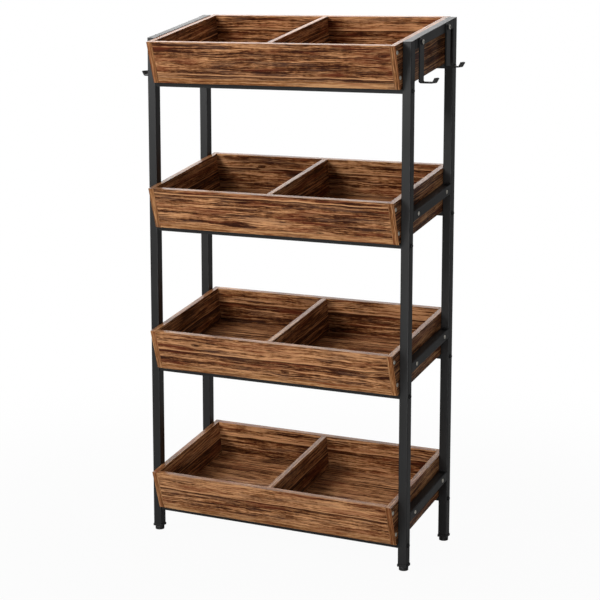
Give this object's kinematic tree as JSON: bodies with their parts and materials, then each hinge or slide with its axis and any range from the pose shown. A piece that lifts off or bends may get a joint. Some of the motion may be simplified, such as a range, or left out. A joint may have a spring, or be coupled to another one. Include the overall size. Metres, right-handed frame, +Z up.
{
  "type": "pantry shelf",
  "caption": "Tall open pantry rack: forward-tilted wooden trays with middle dividers between black steel side frames, with hooks on the top rails and screw-adjusted feet.",
  "frame": {"origin": "on the floor, under the middle of the rack's bounding box", "axes": "+Z up, +Y towards the back, +X towards the rack's right side as seen from the front"},
  "size_m": [0.6726, 0.2942, 1.11],
  "materials": {
    "frame_steel": "matte black powder coat",
    "hook_steel": "satin black coat",
    "board_wood": "rustic brown, satin",
    "bolt_steel": "bright zinc",
    "plug_plastic": "matte black",
    "foot_plastic": "matte black"
  },
  "bodies": {
    "rack": {"front_left_post": "frame_steel", "front_right_post": "frame_steel", "rear_left_post": "frame_steel", "rear_right_post": "frame_steel", "front_left_plug": "plug_plastic", "front_right_plug": "plug_plastic", "rear_left_plug": "plug_plastic", "rear_right_plug": "plug_plastic", "front_left_hook": "hook_steel", "front_right_hook": "hook_steel", "rear_left_hook": "hook_steel", "rear_right_hook": "hook_steel", "front_left_hook_bolt": "bolt_steel", "front_right_hook_bolt": "bolt_steel", "rear_left_hook_bolt": "bolt_steel", "rear_right_hook_bolt": "bolt_steel", "bottom_front_crossbar": "frame_steel", "bottom_rear_crossbar": "frame_steel", "lower_front_crossbar": "frame_steel", "lower_rear_crossbar": "frame_steel", "upper_front_crossbar": "frame_steel", "upper_rear_crossbar": "frame_steel", "top_front_crossbar": "frame_steel", "top_rear_crossbar": "frame_steel", "bottom_left_rail": "frame_steel", "bottom_right_rail": "frame_steel", "lower_left_rail": "frame_steel", "lower_right_rail": "frame_steel", "upper_left_rail": "frame_steel", "upper_right_rail": "frame_steel", "top_left_rail": "frame_steel", "top_right_rail": "frame_steel", "bottom_tray_left_side": "board_wood", "bottom_tray_right_side": "board_wood", "bottom_tray_front": "board_wood", "bottom_tray_back": "board_wood", "bottom_tray_base": "board_wood", "bottom_tray_divider": "board_wood", "lower_tray_left_side": "board_wood", "lower_tray_right_side": "board_wood", "lower_tray_front": "board_wood", "lower_tray_back": "board_wood", "lower_tray_base": "board_wood", "lower_tray_divider": "board_wood", "upper_tray_left_side": "board_wood", "upper_tray_right_side": "board_wood", "upper_tray_front": "board_wood", "upper_tray_back": "board_wood", "upper_tray_base": "board_wood", "upper_tray_divider": "board_wood", "top_tray_left_side": "board_wood", "top_tray_right_side": "board_wood", "top_tray_front": "board_wood", "top_tray_back": "board_wood", "top_tray_base": "board_wood", "top_tray_divider": "board_wood"},
    "front_left_levelling_foot": {"front_left_foot": "foot_plastic"},
    "front_right_levelling_foot": {"front_right_foot": "foot_plastic"},
    "rear_left_levelling_foot": {"rear_left_foot": "foot_plastic"},
    "rear_right_levelling_foot": {"rear_right_foot": "foot_plastic"}
  },
  "joints": [
    {"name": "front_left_foot_height", "type": "slide", "parent": "rack", "child": "front_left_levelling_foot", "axis": [0, 0, 1], "range_m": [-0.008, 0]},
    {"name": "front_right_foot_height", "type": "slide", "parent": "rack", "child": "front_right_levelling_foot", "axis": [0, 0, 1], "range_m": [-0.008, 0]},
    {"name": "rear_left_foot_height", "type": "slide", "parent": "rack", "child": "rear_left_levelling_foot", "axis": [0, 0, 1], "range_m": [-0.008, 0]},
    {"name": "rear_right_foot_height", "type": "slide", "parent": "rack", "child": "rear_right_levelling_foot", "axis": [0, 0, 1], "range_m": [-0.008, 0]}
  ]
}
